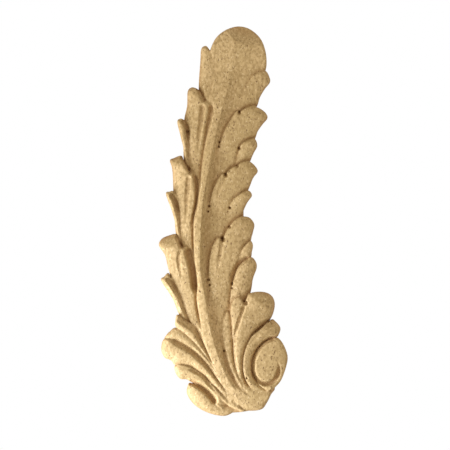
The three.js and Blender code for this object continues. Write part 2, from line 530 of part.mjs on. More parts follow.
// The closed body: carved face, side wall and flat back, with the middle of the back at the origin.
function leafGeometry() {
  const points = meshPoints();
  const area = ([a, b, c]) => {
    const { x, z } = points[a];
    return ((points[b].x - x) * (points[c].z - z) - (points[b].z - z) * (points[c].x - x)) / 2;
  };
  const centre = (corners, axis) => corners.reduce((sum, i) => sum + points[i][axis], 0) / 3;
  const face = triangles(points)
    .filter((corners) => Math.abs(area(corners)) > SLIVER)
    .filter((corners) => margin(centre(corners, "x"), centre(corners, "z")) > 0)
    .map(([a, b, c]) => (area([a, b, c]) > 0 ? [a, b, c] : [a, c, b]));
  const rim = rimOf(face);
  const box = new THREE.Box2().setFromPoints(rim.map((i) => new THREE.Vector2(points[i].x, points[i].z)));
  const middle = box.getCenter(new THREE.Vector2());
  const scale = LENGTH / box.getSize(new THREE.Vector2()).y;
  const raised = points.map(({ x, z, rim: onRim }) => {
    if (onRim) return rimHeight(x, z) * RISE - EDGE_ROUND;
    const rounding = Math.max(1 - (margin(x, z) * UNIT) / EDGE_ROUND, 0);
    return height(x, z) * RISE - EDGE_ROUND * (1 - Math.sqrt(1 - rounding * rounding));
  });
  const stretch = THICKNESS / Math.max(...raised);
  const plan = points.map(({ x, z }) => [(x - middle.x) * scale, (z - middle.y) * scale]);
  const positions = [
    ...plan.map(([x, z], i) => [x, -raised[i] * stretch, z]),
    ...rim.map((i) => [plan[i][0], 0, plan[i][1]]),
  ];
  const back = (i) => points.length + (i % rim.length);
  const wall = rim.flatMap((top, i) => [
    [top, back(i), back(i + 1)],
    [top, back(i + 1), rim[(i + 1) % rim.length]],
  ]);
  const outline = rim.map((i) => new THREE.Vector2(...plan[i]));
  const sheet = THREE.ShapeUtils.triangulateShape(outline, []);
  const floor = sheet.map(([a, b, c]) => [back(a), back(c), back(b)]);
  const geometry = new THREE.BufferGeometry();
  const corners = [...face, ...wall, ...floor].flat().flatMap((i) => positions[i]);
  geometry.setAttribute("position", new THREE.Float32BufferAttribute(corners, 3));
  geometry.computeVertexNormals();
  return geometry;
}

const wood = new THREE.MeshStandardMaterial({ color: 0xcfae7b, roughness: 0.8, metalness: 0 });
wood.name = "sanded beech, bare";

const leaf = new THREE.Mesh(leafGeometry(), wood);
leaf.name = "acanthus_leaf";

const applique = new THREE.Group();
applique.add(leaf);

export default applique;
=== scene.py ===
"""Carved acanthus leaf applique: the finished carving over the CAD leaf.

The leaf is drawn leaflet by leaflet as a height over its flat back, with the same lines as the CAD solid, and
meshed finely. The wood is procedural. Metres, +Z up, the carved face looks along -Y, the back lies in Y = 0.
"""

import math

import bpy
import numpy as np
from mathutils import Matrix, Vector


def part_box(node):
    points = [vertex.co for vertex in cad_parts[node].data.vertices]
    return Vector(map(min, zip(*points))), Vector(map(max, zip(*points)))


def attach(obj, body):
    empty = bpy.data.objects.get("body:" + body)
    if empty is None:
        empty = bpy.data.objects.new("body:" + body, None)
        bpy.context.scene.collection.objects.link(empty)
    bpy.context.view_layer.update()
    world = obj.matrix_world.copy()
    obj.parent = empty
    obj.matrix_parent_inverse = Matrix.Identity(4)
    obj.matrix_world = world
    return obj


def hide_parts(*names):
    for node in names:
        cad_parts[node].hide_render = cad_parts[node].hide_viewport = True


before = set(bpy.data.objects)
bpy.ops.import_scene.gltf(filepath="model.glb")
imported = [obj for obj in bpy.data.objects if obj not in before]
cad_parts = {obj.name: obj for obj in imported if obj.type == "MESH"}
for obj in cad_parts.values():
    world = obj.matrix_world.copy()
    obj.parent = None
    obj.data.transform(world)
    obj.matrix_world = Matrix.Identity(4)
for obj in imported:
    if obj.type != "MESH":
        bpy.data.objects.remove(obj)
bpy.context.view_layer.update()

# Sizes, mm
MM = 0.001
MESH_STEP = 0.3
EDGE_ROUND = 0.9
BACK_BEVEL = 0.25

# Painted shade: the wood is painted brownest where it lies this far (mm) below the mean height within this
# reach (mm) round it.
PAINTED_SHADE_DEPTH = 2.5
PAINTED_SHADE_REACH = 1.6

# In mesh steps: how far inside the outline a cell of the mesh lies at least, and how near the outline a cell
# outside it lies that fills a chink between two leaflets.
CELL_INSET = 0.3
CHINK_REACH = 3

# Rounds in which the rim of the mesh is evened out along the outline, and rows of faces down the side wall.
RIM_ROUNDS = 12
WALL_ROWS = 5

# Bare beech: its colour, a browner colour painted into the hollows as shade, and the figure, one layer laid
# over the other.
#   code      colour
#   size      of a feature across the grain, mm
#   stretch   how many times as long it is along the grain, which runs up the leaf
#   detail    finer layers of the noise
#   band      values of the noise between which the colour comes in
# Ray flecks in beech are 0.1 to 0.2 mm wide, too fine to show, so they are drawn 0.5 mm wide.
BARE_WOOD = "#B89866"
PAINTED_SHADE_WOOD = "#8F6233"
FIGURE = [
  dict(name="broad tone", code="#AC8E5B", size=14, stretch=5, detail=2, band=(0.35, 0.65)),
  dict(name="mottling", code="#987A4A", size=1.1, stretch=1.5, detail=3, band=(0.32, 0.68)),
  dict(name="pale fibres", code="#C8AB7B", size=0.8, stretch=1.3, detail=2, band=(0.58, 0.76)),
  dict(name="ray flecks", code="#664826", size=0.5, stretch=2.2, detail=1, band=(0.63, 0.73)),
]

# Raised grain: size, stretch and detail as above, its height in mm and the strength of the bump.
RAISED_GRAIN = dict(size=0.5, stretch=2, detail=3, height=0.06, strength=0.6)

# The view, in metres: straight ahead from far off, the leaf a little left of the middle.
VIEW = dict(lens=500, sensor=36, span=0.2083, aside=0.0008, down=0.0018)

# The studio, in metres and watts: a floor well below the leaf and two soft lamps at the lower left.
FLOOR = dict(half_width=0.7, front=-0.75, rear=0.6, level=-0.36)
LAMPS = [
  dict(name="key, lower left", place=(-0.215, -0.07, -0.13), aim=(0, 0, -0.02), size=0.2, power=1.3,
    tint="#E2EDFF"),
  dict(name="glow, left", place=(-0.115, -0.055, -0.125), aim=(-0.02, 0, -0.075), size=0.06, power=0.36,
    tint="#C8DAFF"),
]

# Plan sizes below are hundredths of the leaf's length, x to the right and z up from the middle of the leaf.
# Heights below are hundredths of its thickness, counted from the back.
CURVE_PIECES = 5
MIDDLE_PIECES = 8
GROUND_HEIGHT = 58
DEEPEST = 40
STEP_WIDTH = 0.28
CUT_WIDTH = 0.6
RIM_INSET = 0.35

# The grid that the mesh is cut from reaches well past the leaf.
GRID_REACH = dict(x=18, z=51)

# How far outside its own line a leaflet or groove still acts.
BEYOND = 1.5

# Distance over which the way in from the outline is measured, and the least length that is divided by.
PROBE = 0.05
LEAST = 1e-9

# A leaflet is at its tip's height over the last part of its length; its rolled tip bends down by a power.
TIP_SHARE = 0.85
CURL_BEND = 1.7

# A groove begins over a share of its length and narrows to a share of its width; a power sets its sides.
RUN_IN = 0.08
NARROWEST = 0.2
GROOVE_WALL = 4

# The floor that shows between the leaflets at the bottom of the deepest cuts.
GROUND = [
  [-4, 30], [-8, 20], [-11, 6], [-12, -10], [-11.6, -24], [-12.6, -31], [-10.8, -38.6], [-7.6, -42],
  [-6.5, -46], [0, -49], [9, -47.6], [12.4, -42], [13, -30], [9, -23], [6, -16], [5, 0], [5.5, 12],
  [6.5, 24], [7, 34],
]

# The stalk carries the rounded leaf at the top and runs down to the foot.
STALK = [
  [-5.5, 30], [-4.5, 36], [-3.9, 42], [-3.3, 44.6], [-1.9, 47.2], [0.6, 49.1], [3.6, 50], [6.6, 49.3],
  [9.2, 47], [10.5, 44], [10.9, 41], [10.6, 38.4], [9, 32], [6, 20], [4, 6], [4, -20], [5.5, -36], [8, -46],
  [6, -48.45], [4, -48.3], [0, -46], [-4, -39.5], [-7.5, -30], [-9.5, -20], [-9, -5], [-8, 10],
]
RIDGE = [
  [3, 52], [2.3, 42], [1.3, 35.5], [-0.2, 30], [-2.1, 22.5], [-4, 13], [-5.4, 5], [-6, -4], [-6, -13],
  [-4.7, -20], [-3.6, -27], [-1.7, -34], [1, -40.5], [4, -44.7], [6.2, -47.4],
]
RIDGE_HEIGHT = [
  [-48, 78], [-40, 93], [-20, 99], [0, 95], [20, 87], [34, 81], [38.5, 76], [45.5, 87], [50, 87],
]
VALLEY_DEPTH = [[-44, 7], [-30, 19], [-5, 27], [12, 23], [28, 14], [34, 9], [42, 0]]
VALLEY_WIDTH = 2.3
FALL_LEFT = 1.7
FALL_RIGHT = 0.9
CAP = dict(foot=45.1, side=6, bend=0.13, fall=13)

# Leaflets, each drawn over the ones before it.
#   edge    runs from the left of the root round the tip to the right of the root
#   middle  is the line up the middle, a straight one to the tip unless it is given
#   rise    height at the root and at the tip
#   ridge   place of the crest across the leaflet, -1 left edge, 1 right edge
#   fall    height lost from the crest to the left edge and to the right edge
#   curl    length of the rolled tip and the height it loses
#   merge   share of the length over which the leaflet grows out of what lies below
#   cut     depth of the cut along its edge in what lies below
LEAFLETS = [
  dict(name="left 1", rise=[70, 71], ridge=0.2, fall=[14, 0], curl=[1, 7], merge=0.3, cut=0,
    edge=[[-6.4, 30], [-6.5, 35], [-6.1, 41], [-5.9, 44], [-5.1, 44.9], [-4.2, 44.6], [-3, 42], [-2.8, 36],
      [-4, 31]]),
  dict(name="right 1", rise=[60, 73], ridge=-0.3, fall=[2, 12], curl=[1.6, 11], merge=0.8, cut=4,
    edge=[[2, 27], [5.5, 34], [7.4, 37.1], [9.1, 38.2], [10.7, 38.5], [11.6, 37], [11.75, 35.6], [10.5, 34],
      [9.2, 31.8], [8.4, 29.4], [6, 25]]),
  dict(name="left 2", rise=[69, 80], ridge=0.6, fall=[22, 6], curl=[2.6, 20], merge=0.25, cut=4,
    edge=[[-10.3, 8], [-10.4, 24], [-9.5, 29.5], [-9.35, 33.2], [-8.4, 34.3], [-7.2, 34.1], [-6.2, 33.3],
      [-4.9, 30.8], [-3.8, 30.3], [-3.35, 29], [-4.1, 25], [-5.1, 19], [-6, 12], [-6.4, 3]]),
  dict(name="right 2", rise=[73, 84], ridge=-0.5, fall=[4, 24], curl=[3.2, 17], merge=0.3, cut=6,
    middle=[[1, 14], [3.8, 22.5], [10.9, 27.4]],
    edge=[[-2.2, 11], [-1.6, 17.5], [-0.8, 20.3], [0.2, 23.1], [1.8, 26], [3.3, 28.1], [3.8, 27.6],
      [4.6, 28.3], [6, 29.1], [7.5, 29.4], [9.2, 28.9], [10.7, 27.7], [11.1, 26.4], [9.9, 24.9], [8.6, 23],
      [7.9, 21], [5, 14], [2.6, 10]]),
  dict(name="left 3", rise=[69, 80], ridge=-0.3, fall=[12, 14], curl=[1.2, 9], merge=0.8, cut=2,
    edge=[[-10.9, 6], [-10.2, 16.5], [-11.1, 21.5], [-12, 25.4], [-11.2, 26.3], [-10.2, 25.9], [-9.5, 24.6],
      [-9.25, 23.2], [-9.45, 20.5], [-9, 15], [-8.6, 6]]),
  dict(name="right 3", rise=[68, 84], ridge=-0.4, fall=[4, 18], curl=[1.6, 12], merge=0.9, cut=8,
    edge=[[2.2, 10], [3.5, 16], [4.1, 18.8], [5, 20.1], [6.4, 20.8], [7.9, 21.1], [8.5, 19.3], [7.6, 17.5],
      [6.7, 15.3], [5, 10]]),
  dict(name="left 4", rise=[73, 86], ridge=0.72, fall=[21, 9], curl=[3, 23], merge=0.25, cut=4,
    edge=[[-11.4, -14], [-12.8, 2], [-13.2, 12.5], [-13.9, 15.5], [-12.9, 16.2], [-10.9, 16.8],
      [-10.2, 14.9], [-8.8, 12.5], [-8, 12.25], [-7.2, 10.5], [-6.95, 6], [-7.8, 1], [-7.9, -6],
      [-7.4, -15]]),
  dict(name="right 4", rise=[76, 85], ridge=-0.5, fall=[4, 22], curl=[2.6, 15], merge=0.3, cut=6,
    middle=[[-1, 1], [1.8, 9], [8.4, 13.4]],
    edge=[[-4, -1], [-3.7, 4.2], [-3.1, 6.7], [-2.3, 9], [-1.3, 10.9], [-0.3, 12.1], [0.4, 11.5], [1, 12.6],
      [2.2, 13.7], [3.3, 14.1], [4.6, 15], [6.5, 15.3], [8, 14.1], [8.6, 12.7], [7.4, 11], [6.2, 8],
      [3, 1]]),
  dict(name="left 5", rise=[71, 84], ridge=-0.3, fall=[12, 14], curl=[1.2, 9], merge=0.8, cut=2,
    edge=[[-11.6, -13], [-12.2, -3], [-13.1, 1.8], [-14.9, 6.9], [-14, 7.6], [-12.9, 7.6], [-12, 5],
      [-11.6, 1.5], [-11.2, -3], [-10.4, -13]]),
  dict(name="right 5", rise=[70, 84], ridge=-0.4, fall=[4, 18], curl=[1.6, 12], merge=0.9, cut=8,
    edge=[[0.2, -2], [1, 1], [1.7, 4], [2.7, 5.8], [4.3, 7], [6.2, 7.9], [7.15, 6.6], [5.9, 4.7], [4.8, 2],
      [4.3, -2]]),
  dict(name="left 6", rise=[78, 91], ridge=0.6, fall=[17, 9], curl=[3.6, 26], merge=0.25, cut=3,
    edge=[[-8.6, -30], [-11.6, -21], [-14.2, -12.5], [-15.1, -8.8], [-16.7, -6.2], [-16, -4.5],
      [-14.1, -3.6], [-12.2, -3.4], [-11.2, -6.3], [-10.5, -7], [-9.5, -6.7], [-8.3, -8.4], [-7.4, -12],
      [-7, -17], [-7, -21], [-5.5, -29]]),
  dict(name="right 6", rise=[81, 89], ridge=-0.5, fall=[4, 24], curl=[3, 15], merge=0.3, cut=5,
    middle=[[-1.5, -25], [0, -10], [7.6, -0.4]],
    edge=[[-4.4, -25], [-3.9, -15], [-3.6, -10.3], [-3.2, -8], [-2.8, -6.4], [-1.6, -4.4], [-0.9, -4.6],
      [-0.4, -5.6], [0, -4.2], [0.7, -2.6], [1.6, -1.3], [2.7, 0.1], [4.1, 1], [5.3, 1.25], [6.7, 0.8],
      [7.75, -0.8], [7.4, -2.8], [6.9, -4.9], [6.6, -9], [4, -18], [1.5, -25]]),
  dict(name="right 6 lower", rise=[76, 85], ridge=-0.3, fall=[2, 12], curl=[1, 7], merge=0.9, cut=8,
    edge=[[2.8, -14], [4.3, -8.6], [5.2, -6.7], [6.8, -5.1], [7.4, -6.2], [7.1, -8], [6.9, -9.3],
      [5.4, -14]]),
  dict(name="left 7", rise=[73, 89], ridge=0.1, fall=[15, 13], curl=[2, 22], merge=0.4, cut=2,
    edge=[[-9, -31], [-11.2, -25], [-12.1, -22.5], [-13.4, -19.4], [-16.1, -15.2], [-15.4, -14.2],
      [-14.2, -13.3], [-12.9, -16.2], [-11.5, -19.3], [-9.8, -23.5], [-7, -30]]),
  dict(name="right 7", rise=[80, 90], ridge=-0.4, fall=[4, 22], curl=[2, 13], merge=0.7, cut=7,
    edge=[[0.8, -27], [1.7, -21], [2.1, -17], [3.2, -13], [4.4, -11], [6.8, -9.2], [8.1, -10.3],
      [8.35, -12], [7.4, -14.7], [6.8, -18.2], [4.5, -27]]),
  dict(name="foot", rise=[86, 82], ridge=0, fall=[6, 14], curl=[1, 8], merge=0.1, cut=0,
    middle=[[3, -42], [12, -45.4]],
    edge=[[1.5, -41.5], [5, -40], [9, -40.5], [12.9, -42.5], [12, -44.4], [11, -46.4], [9.5, -48.2],
      [6, -48.5], [4, -47.6]]),
  dict(name="right 8", rise=[92, 95], ridge=-0.3, fall=[5, 34], curl=[3.4, 29], merge=0.2, cut=3,
    middle=[[5, -43], [5, -30], [12.8, -20.4]],
    edge=[[2.6, -42], [1.7, -30], [1.8, -23], [2.5, -20.3], [3.8, -19.6], [5, -20.9], [5.8, -20],
      [6.8, -18.4], [10, -18.1], [12.2, -19.1], [13, -21.3], [12.2, -24.5], [9.5, -29], [6.5, -36],
      [6.2, -43]]),
  dict(name="left 8", rise=[87, 95], ridge=-0.1, fall=[6, 10], curl=[1.4, 11], merge=0.25, cut=2,
    edge=[[-3, -39], [-6, -33.6], [-9.2, -30], [-12.2, -27.2], [-12.5, -25.5], [-12, -23.9], [-10.4, -25.2],
      [-7.6, -27], [-6, -30], [-4.5, -33.2], [-2.2, -38]]),
  dict(name="left 9", rise=[88, 91], ridge=0.1, fall=[8, 5], curl=[1.8, 12], merge=0.2, cut=1,
    edge=[[-1.5, -41], [-5.3, -36], [-8.7, -33], [-12, -30.8], [-15.1, -30.2], [-14.9, -29.3], [-14, -28.3],
      [-12.2, -27.3], [-9, -29.7], [-5.8, -33.2], [-2.1, -38.4]]),
  dict(name="left 10", rise=[86, 93], ridge=0.35, fall=[18, 8], curl=[1.6, 10], merge=0.2, cut=2,
    edge=[[0.6, -46], [-3.4, -41.7], [-7.5, -38], [-10.5, -37], [-12.6, -36.8], [-13.6, -35.6],
      [-15.2, -34.9], [-16.1, -32.8], [-15.3, -30.1], [-12, -30.8], [-8.7, -33], [-5.3, -36], [-1.2, -41.3],
      [1.5, -45]]),
  dict(name="left 11", rise=[84, 86], ridge=0.35, fall=[11, 0], curl=[1.4, 8], merge=0.2, cut=0,
    edge=[[0.8, -49.2], [-1.7, -47], [-4.4, -44.1], [-6.8, -42.1], [-8.6, -41.1], [-9.6, -40.5],
      [-11.3, -40.3], [-12.5, -38.6], [-12.5, -36.9], [-9.5, -37.2], [-6.3, -38.8], [-3.4, -41.7],
      [1, -46.5]]),
  dict(name="left 12", rise=[84, 82], ridge=0.5, fall=[22, 5], curl=[1.2, 9], merge=0.8, cut=0,
    middle=[[3.5, -48], [-3, -47], [-9, -42]],
    edge=[[4.2, -47.6], [2.6, -48.8], [0, -49.9], [-4, -49.1], [-7.5, -47.1], [-9.5, -44.2], [-9.2, -41.8],
      [-8.4, -41.5], [-6.6, -42.3], [-4.4, -44], [-2.6, -46.2], [-0.5, -47.4], [1.5, -47.6]]),
  dict(name="right 9 inner", rise=[88, 79], ridge=0, fall=[5, 5], curl=[3, 9], merge=0.2, cut=3,
    edge=[[5.2, -45], [1.2, -37.5], [0.1, -33.4], [-0.3, -29.5], [-0.1, -25.5], [0.6, -23.1], [1.5, -23.6],
      [2, -27], [2.2, -31], [2.7, -37], [5.6, -44]]),
  dict(name="right 9", rise=[90, 92], ridge=-0.8, fall=[1, 22], curl=[4.5, 24], merge=0.12, cut=12,
    edge=[[8.6, -44.5], [5.9, -41], [5, -37.5], [5.4, -33.6], [7, -29.8], [9.6, -27.5], [12.1, -25.2],
      [13.3, -25.8], [14.4, -27.2], [14.2, -28.6], [13.3, -29.9], [11, -31], [8.8, -33.3], [7.7, -37],
      [8.8, -41], [12, -43.5]]),
  dict(name="scroll", rise=[92, 92], ridge=0, fall=[3, 7], curl=[1, 6], merge=0, cut=0,
    edge=[[11.4, -43.3], [9, -41.6], [7.5, -38.5], [7.5, -35.5], [8.7, -32.9], [10.7, -31], [13.3, -29.8],
      [15, -31.2], [16.25, -34.4], [15.9, -37.2], [14.6, -40.7], [12.9, -42.7]]),
]

# Grooves cut with a round gouge.
#   line    is the middle of the groove from its start to its end
#   half    half its width
#   depth   its depth
#   into    share of its length over which it starts, RUN_IN unless it is given
#   out     share of its length over which it runs out
GROOVES = [
  dict(line=[[-7, 34.3], [-6.2, 33], [-5.4, 31.4], [-4.6, 30.5]], half=0.5, depth=13, out=0.15),
  dict(line=[[-11, 16.7], [-10.2, 15], [-9.5, 13.8], [-8.6, 12.5]], half=0.45, depth=11, out=0.15),
  dict(line=[[-12.3, -3.6], [-11.5, -5.4], [-10.8, -7]], half=0.45, depth=11, out=0.15),
  dict(line=[[-3.7, 30.2], [-3.3, 28.6], [-3.6, 26.6], [-4.1, 24.3], [-4.5, 22], [-5, 19.6], [-5.4, 16]],
    half=0.65, depth=10, out=0.7),
  dict(line=[[-5.4, 30.4], [-5.9, 25.5], [-6.4, 22], [-6.6, 16]], half=0.6, depth=9, out=0.7),
  dict(line=[[-10.9, 26], [-10, 24.8], [-9.4, 23.1], [-9.2, 20]], half=0.55, depth=18, out=0.5),
  dict(line=[[-8.3, 12.3], [-7.3, 10.6], [-6.9, 7.5], [-7.2, 3.6], [-8.2, 0], [-8.5, -3.5]],
    half=0.5, depth=14, out=0.5),
  dict(line=[[-8.9, 12], [-9.3, 8.5], [-9.6, 3], [-9.8, -2]], half=0.6, depth=7, out=0.7),
  dict(line=[[-13.9, 7.2], [-12.8, 5.6], [-12.1, 3.4], [-11.8, 0.5]], half=0.55, depth=18, out=0.5),
  dict(line=[[-11, -7], [-11.6, -10], [-10.6, -16]], half=0.5, depth=6, out=0.7),
  dict(line=[[-9.5, -6.7], [-9, -8.6], [-8.3, -11.2], [-7.9, -13.4], [-7.6, -15.9], [-7.4, -18.8]],
    half=0.85, depth=24, out=0.2),
  dict(line=[[-14.9, -14.4], [-13.4, -16], [-12.2, -18.3], [-11, -20.7]], half=0.6, depth=14, out=0.7),
  dict(line=[[0.4, 11.6], [-1.2, 8], [-2, 3]], half=0.5, depth=4, out=0.8),
  dict(line=[[-0.4, -5], [-1.1, -9], [-2.2, -15]], half=0.5, depth=5, out=0.8),
  dict(line=[[6.6, -9.3], [4.6, -10.2], [3.2, -11.8], [2.3, -14], [1.9, -17]], half=0.7, depth=9, out=0.3),
  dict(line=[[-12.4, -24.6], [-9, -26.5], [-6.9, -28.3], [-5.9, -30.6], [-4.7, -32.9], [-3.8, -35]],
    half=0.8, depth=8, out=0.5),
  dict(line=[[-13.8, -30.3], [-10.5, -31.9], [-8, -33.4], [-6.3, -35], [-4.2, -37.1], [-1.9, -40.2],
    [0.2, -43.3]], half=0.7, depth=8, out=0.5),
  dict(line=[[-9.6, -37.8], [-7.5, -38.3], [-5.1, -39.9], [-3.7, -41.8], [-1.8, -44]],
    half=0.5, depth=9, into=0.2, out=0.4),
  dict(line=[[-9.2, -41.1], [-7.6, -41.5], [-6, -42.4], [-4.4, -43.6], [-3, -45.1], [-1.9, -47]],
    half=0.75, depth=17, out=0.12),
  dict(line=[[5.4, -20.8], [4.4, -23.8], [3.4, -27], [2.6, -30.5], [2.6, -34.5], [3.4, -38], [4.9, -41]],
    half=0.45, depth=8, out=0.3),
  dict(line=[[-1, -29], [-0.1, -32.5], [0.9, -37], [3, -41.2], [5.4, -43.7], [8.2, -45.8]],
    half=0.55, depth=6, into=0.3, out=0.4),
  dict(line=[[13.2, -25.6], [11.3, -26], [9.5, -27.4], [8, -28.9], [6.7, -31], [5.7, -33.6]],
    half=1, depth=11, out=0.6),
  dict(line=[[14.2, -29.6], [11.6, -30.4], [9.3, -32.2], [7.9, -34.4], [7.4, -37], [7.7, -39.3], [9, -41],
    [10.8, -41.6], [12.6, -41], [13.7, -39.4], [14, -37.5], [13.7, -35.7]], half=0.55, depth=17, out=0.15),
  dict(line=[[2, -45.8], [5.2, -48.4]], half=0.4, depth=3, out=0.2),
]

# Eyes: small round pits drilled where two leaflets part, with the radius of each.
EYES = [
  [-9.4, 23, 0.3], [-8.8, 12.4, 0.25], [3.9, 27.8, 0.4], [-1.2, 20.3, 0.25], [-1.3, 19.1, 0.25],
  [3.9, 18.7, 0.4], [3.4, 14.1, 0.35], [0.4, 11.8, 0.5], [-3.8, 3.9, 0.3], [-4.1, 2.5, 0.25],
  [1.5, 3.5, 0.3], [1.5, -1.4, 0.35], [-0.3, -4.6, 0.6], [-3.9, -15, 0.3], [-3.7, -16.3, 0.3],
  [2.1, -16, 0.3], [2.1, -17.1, 0.25], [5.5, -20.9, 0.6], [0, -33.2, 0.25], [5.8, -40.2, 0.25],
]
EYE_DEPTH = 15


def curve(points, pieces=CURVE_PIECES):
    """Smooth line through the points, Catmull-Rom."""
    given = np.array(points, float)
    last = len(given) - 1
    place = np.linspace(0, last, pieces * last + 1)
    start = np.minimum(place.astype(int), last - 1)
    share = (place - start)[:, None]
    before, a, b, after = (given[np.clip(start + step, 0, last)] for step in (-1, 0, 1, 2))
    leave = (b - before) / 2
    arrive = (after - a) / 2
    cubic = 2 * a - 2 * b + leave + arrive
    square = 3 * b - 3 * a - 2 * leave - arrive
    return cubic * share**3 + square * share**2 + leave * share + a


def closed(points):
    return curve([*points, points[0]])


def ease(share):
    share = np.clip(share, 0, 1)
    return share * share * (3 - 2 * share)


def mix(a, b, share):
    return a + (b - a) * share


def between(table, place):
    places, values = zip(*table)
    return np.interp(place, places, values)


def length_of(line):
    return np.hypot(*np.diff(line, axis=0).T).sum()


def nearest(line, x, z):
    """Distance to a line, the share of its length there, and the side (1 is right of its direction)."""
    distance = np.full(x.shape, np.inf)
    share = np.zeros(x.shape)
    side = np.ones(x.shape)
    run = 0.0
    for (ax, az), (bx, bz) in zip(line[:-1], line[1:]):
        ex, ez = bx - ax, bz - az
        length = math.hypot(ex, ez)
        dx, dz = x - ax, z - az
        along = np.clip((dx * ex + dz * ez) / length**2, 0, 1)
        away = np.hypot(dx - along * ex, dz - along * ez)
        closer = away < distance
        distance[closer] = away[closer]
        share[closer] = run + along[closer] * length
        side[closer] = np.where(dx * ez < dz * ex, -1, 1)[closer]
        run += length
    return distance, share / run, side


def contains(loop, x, z):
    odd = np.zeros(x.shape, bool)
    for (ax, az), (bx, bz) in zip(loop, np.roll(loop, -1, axis=0)):
        if az != bz:
            odd ^= ((az > z) != (bz > z)) & (x < (bx - ax) * (z - az) / (bz - az) + ax)
    return odd


def close_to(line, x, z):
    """Which points lie in the box round a line."""
    low = line.min(axis=0) - BEYOND
    high = line.max(axis=0) + BEYOND
    return (x > low[0]) & (x < high[0]) & (z > low[1]) & (z < high[1])


def margin(x, z):
    """Distance in from the outline of the whole leaf, negative outside it."""
    most = np.full(x.shape, -BEYOND)
    loops = [closed(GROUND), closed(STALK)]
    loops += [np.vstack([edge, edge[:1]]) for edge in (curve(leaflet["edge"]) for leaflet in LEAFLETS)]
    for loop in loops:
        near = close_to(loop, x, z)
        distance = nearest(loop, x[near], z[near])[0]
        inward = np.where(contains(loop, x[near], z[near]), distance, -distance)
        most[near] = np.maximum(most[near], inward)
    return most


def stalk_height(x, z):
    distance, _, side = nearest(curve(RIDGE), x, z)
    across = -distance * side
    valley = between(VALLEY_DEPTH, z) * (1 - np.maximum(1 - across / VALLEY_WIDTH, 0) ** 2)
    slope = np.where(across < 0, FALL_LEFT * across, -valley - FALL_RIGHT * across)
    bend = CAP["bend"] * np.maximum(CAP["side"] - x, 0) ** 2
    return between(RIDGE_HEIGHT, z) + slope - CAP["fall"] * np.maximum(z - CAP["foot"] - bend, 0)


def paint(below, leaflet, x, z):
    """Draws one leaflet over the height below it."""
    edge = curve(leaflet["edge"])
    root = (edge[0] + edge[-1]) / 2
    if "middle" in leaflet:
        middle = curve(leaflet["middle"], MIDDLE_PIECES)
        tip = np.argmin(np.hypot(*(edge - middle[-1]).T))
    else:
        tip = np.argmax(np.hypot(*(edge - root).T))
        middle = np.array([root, edge[tip]])
    left = nearest(edge[: tip + 1], x, z)[0]
    right = nearest(edge[tip:], x, z)[0]
    share = nearest(middle, x, z)[1]
    inside = contains(edge, x, z)
    inward = np.minimum(left, right) * np.where(inside, 1, -1)
    across = np.where(inside, (left - right) / (left + right), np.sign(left - right))
    ridge = leaflet["ridge"]
    on_left = leaflet["fall"][0] * (np.maximum(ridge - across, 0) / (ridge + 1)) ** 2
    on_right = leaflet["fall"][1] * (np.maximum(across - ridge, 0) / (1 - ridge)) ** 2
    rolled = np.clip(1 - (1 - share) * length_of(middle) / leaflet["curl"][0], 0, 1)
    crest = mix(*leaflet["rise"], ease(share / TIP_SHARE))
    own = crest - leaflet["curl"][1] * rolled**CURL_BEND - on_left - on_right
    grown = ease(share / leaflet["merge"]) if leaflet["merge"] else 1
    cut_below = below - leaflet["cut"] * grown * np.exp(-((inward / CUT_WIDTH) ** 2))
    return mix(cut_below, own, ease(1 + inward / STEP_WIDTH) * grown)


def height(x, z):
    """Height of the carved face above the back, hundredths of the thickness."""
    stalk = closed(STALK)
    inward = nearest(stalk, x, z)[0] * np.where(contains(stalk, x, z), 1, -1)
    value = mix(GROUND_HEIGHT, stalk_height(x, z), ease(1 + inward / STEP_WIDTH))
    for leaflet in LEAFLETS:
        near = close_to(curve(leaflet["edge"]), x, z)
        value[near] = paint(value[near], leaflet, x[near], z[near])
    for groove in GROOVES:
        path = curve(groove["line"])
        near = close_to(path, x, z)
        distance, share, _ = nearest(path, x[near], z[near])
        ends = np.minimum(ease(share / groove.get("into", RUN_IN)), ease((1 - share) / groove["out"]))
        half = groove["half"] * np.maximum(np.sqrt(ends), NARROWEST)
        value[near] -= groove["depth"] * ends * np.exp(-((distance / half) ** GROOVE_WALL))
    for eye_x, eye_z, radius in EYES:
        value -= EYE_DEPTH * np.exp(-((np.hypot(x - eye_x, z - eye_z) / radius) ** GROOVE_WALL))
    return np.maximum(value, DEEPEST)


def inward_step(x, z, reach):
    """A step of that length straight in from the outline."""
    slope = np.array([
        margin(x + PROBE, z) - margin(x - PROBE, z),
        margin(x, z + PROBE) - margin(x, z - PROBE),
    ])
    return slope * reach / np.maximum(np.hypot(*slope), LEAST)


def blurred(sheet, reach):
    """Gaussian blur of a sheet of numbers, reach in cells."""
    span = np.arange(-int(3 * reach), int(3 * reach) + 1)
    weights = np.exp(-0.5 * (span / reach) ** 2)
    weights /= weights.sum()
    for axis in (0, 1):
        sheet = np.apply_along_axis(np.convolve, axis, sheet, weights, "same")
    return sheet


def outer_rim(cells):
    """Corners round the outside of a patch of cells, once round in the direction of the cells."""
    edges = np.vstack([cells[:, [i, (i + 1) % 4]] for i in range(4)])
    ways = set(map(tuple, edges.tolist()))
    following = {a: b for a, b in ways if (b, a) not in ways}
    longest = []
    while following:
        loop = [min(following)]
        while loop[-1] in following:
            loop.append(following.pop(loop[-1]))
        longest = max(longest, loop[:-1], key=len)
    return np.array(longest)


def leaf_cells(x, z, cells, step):
    """The grid cells inside the leaf's outline, with the chinks between two leaflets filled."""
    inward = margin(x, z)
    inside = (inward[cells] > CELL_INSET * step).all(axis=1)
    rim = outer_rim(cells[inside])
    chinks = ~inside & (np.abs(inward[cells[:, 0]]) < CHINK_REACH * step)
    middles = (values[cells[chinks]].mean(axis=1) for values in (x, z))
    inside[chinks] = contains(np.column_stack([x[rim], z[rim]]), *middles)
    return cells[inside]


